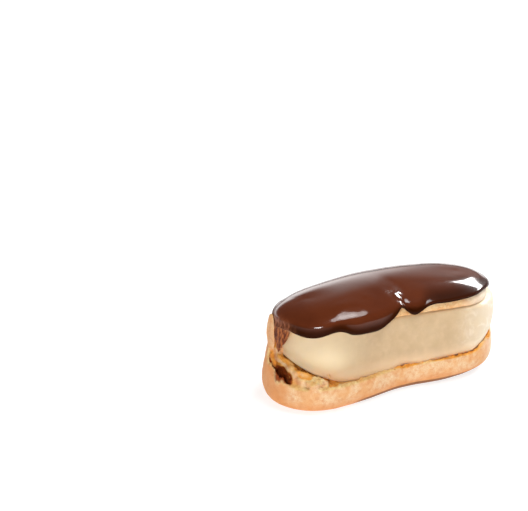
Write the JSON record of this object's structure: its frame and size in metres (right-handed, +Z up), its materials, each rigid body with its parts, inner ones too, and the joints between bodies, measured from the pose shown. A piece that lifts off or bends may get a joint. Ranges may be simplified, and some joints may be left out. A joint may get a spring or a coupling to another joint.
{
  "type": "chocolate eclair",
  "caption": "Choux pastry cut open along its length, filled with a thick slab of custard cream and topped with glossy dark chocolate.",
  "frame": {"origin": "centre of the bounding box's lowest face, on the surface that the eclair rests on", "axes": "+X along the eclair towards the end where the cream reaches the crust, -Y towards the side with the wiped cream face, +Z up"},
  "size_m": [0.1148, 0.0508, 0.0482],
  "materials": {
    "choux_crust": "baked choux crust, matte, light golden with darker toasted patches",
    "custard": "smooth pale custard cream, soft sheen",
    "chocolate": "set chocolate glaze, glossy dark brown"
  },
  "bodies": {
    "root": {"choux_base": "choux_crust", "cream_filling": "custard", "choux_lid": "choux_crust", "chocolate_glaze": "chocolate"}
  },
  "joints": []
}
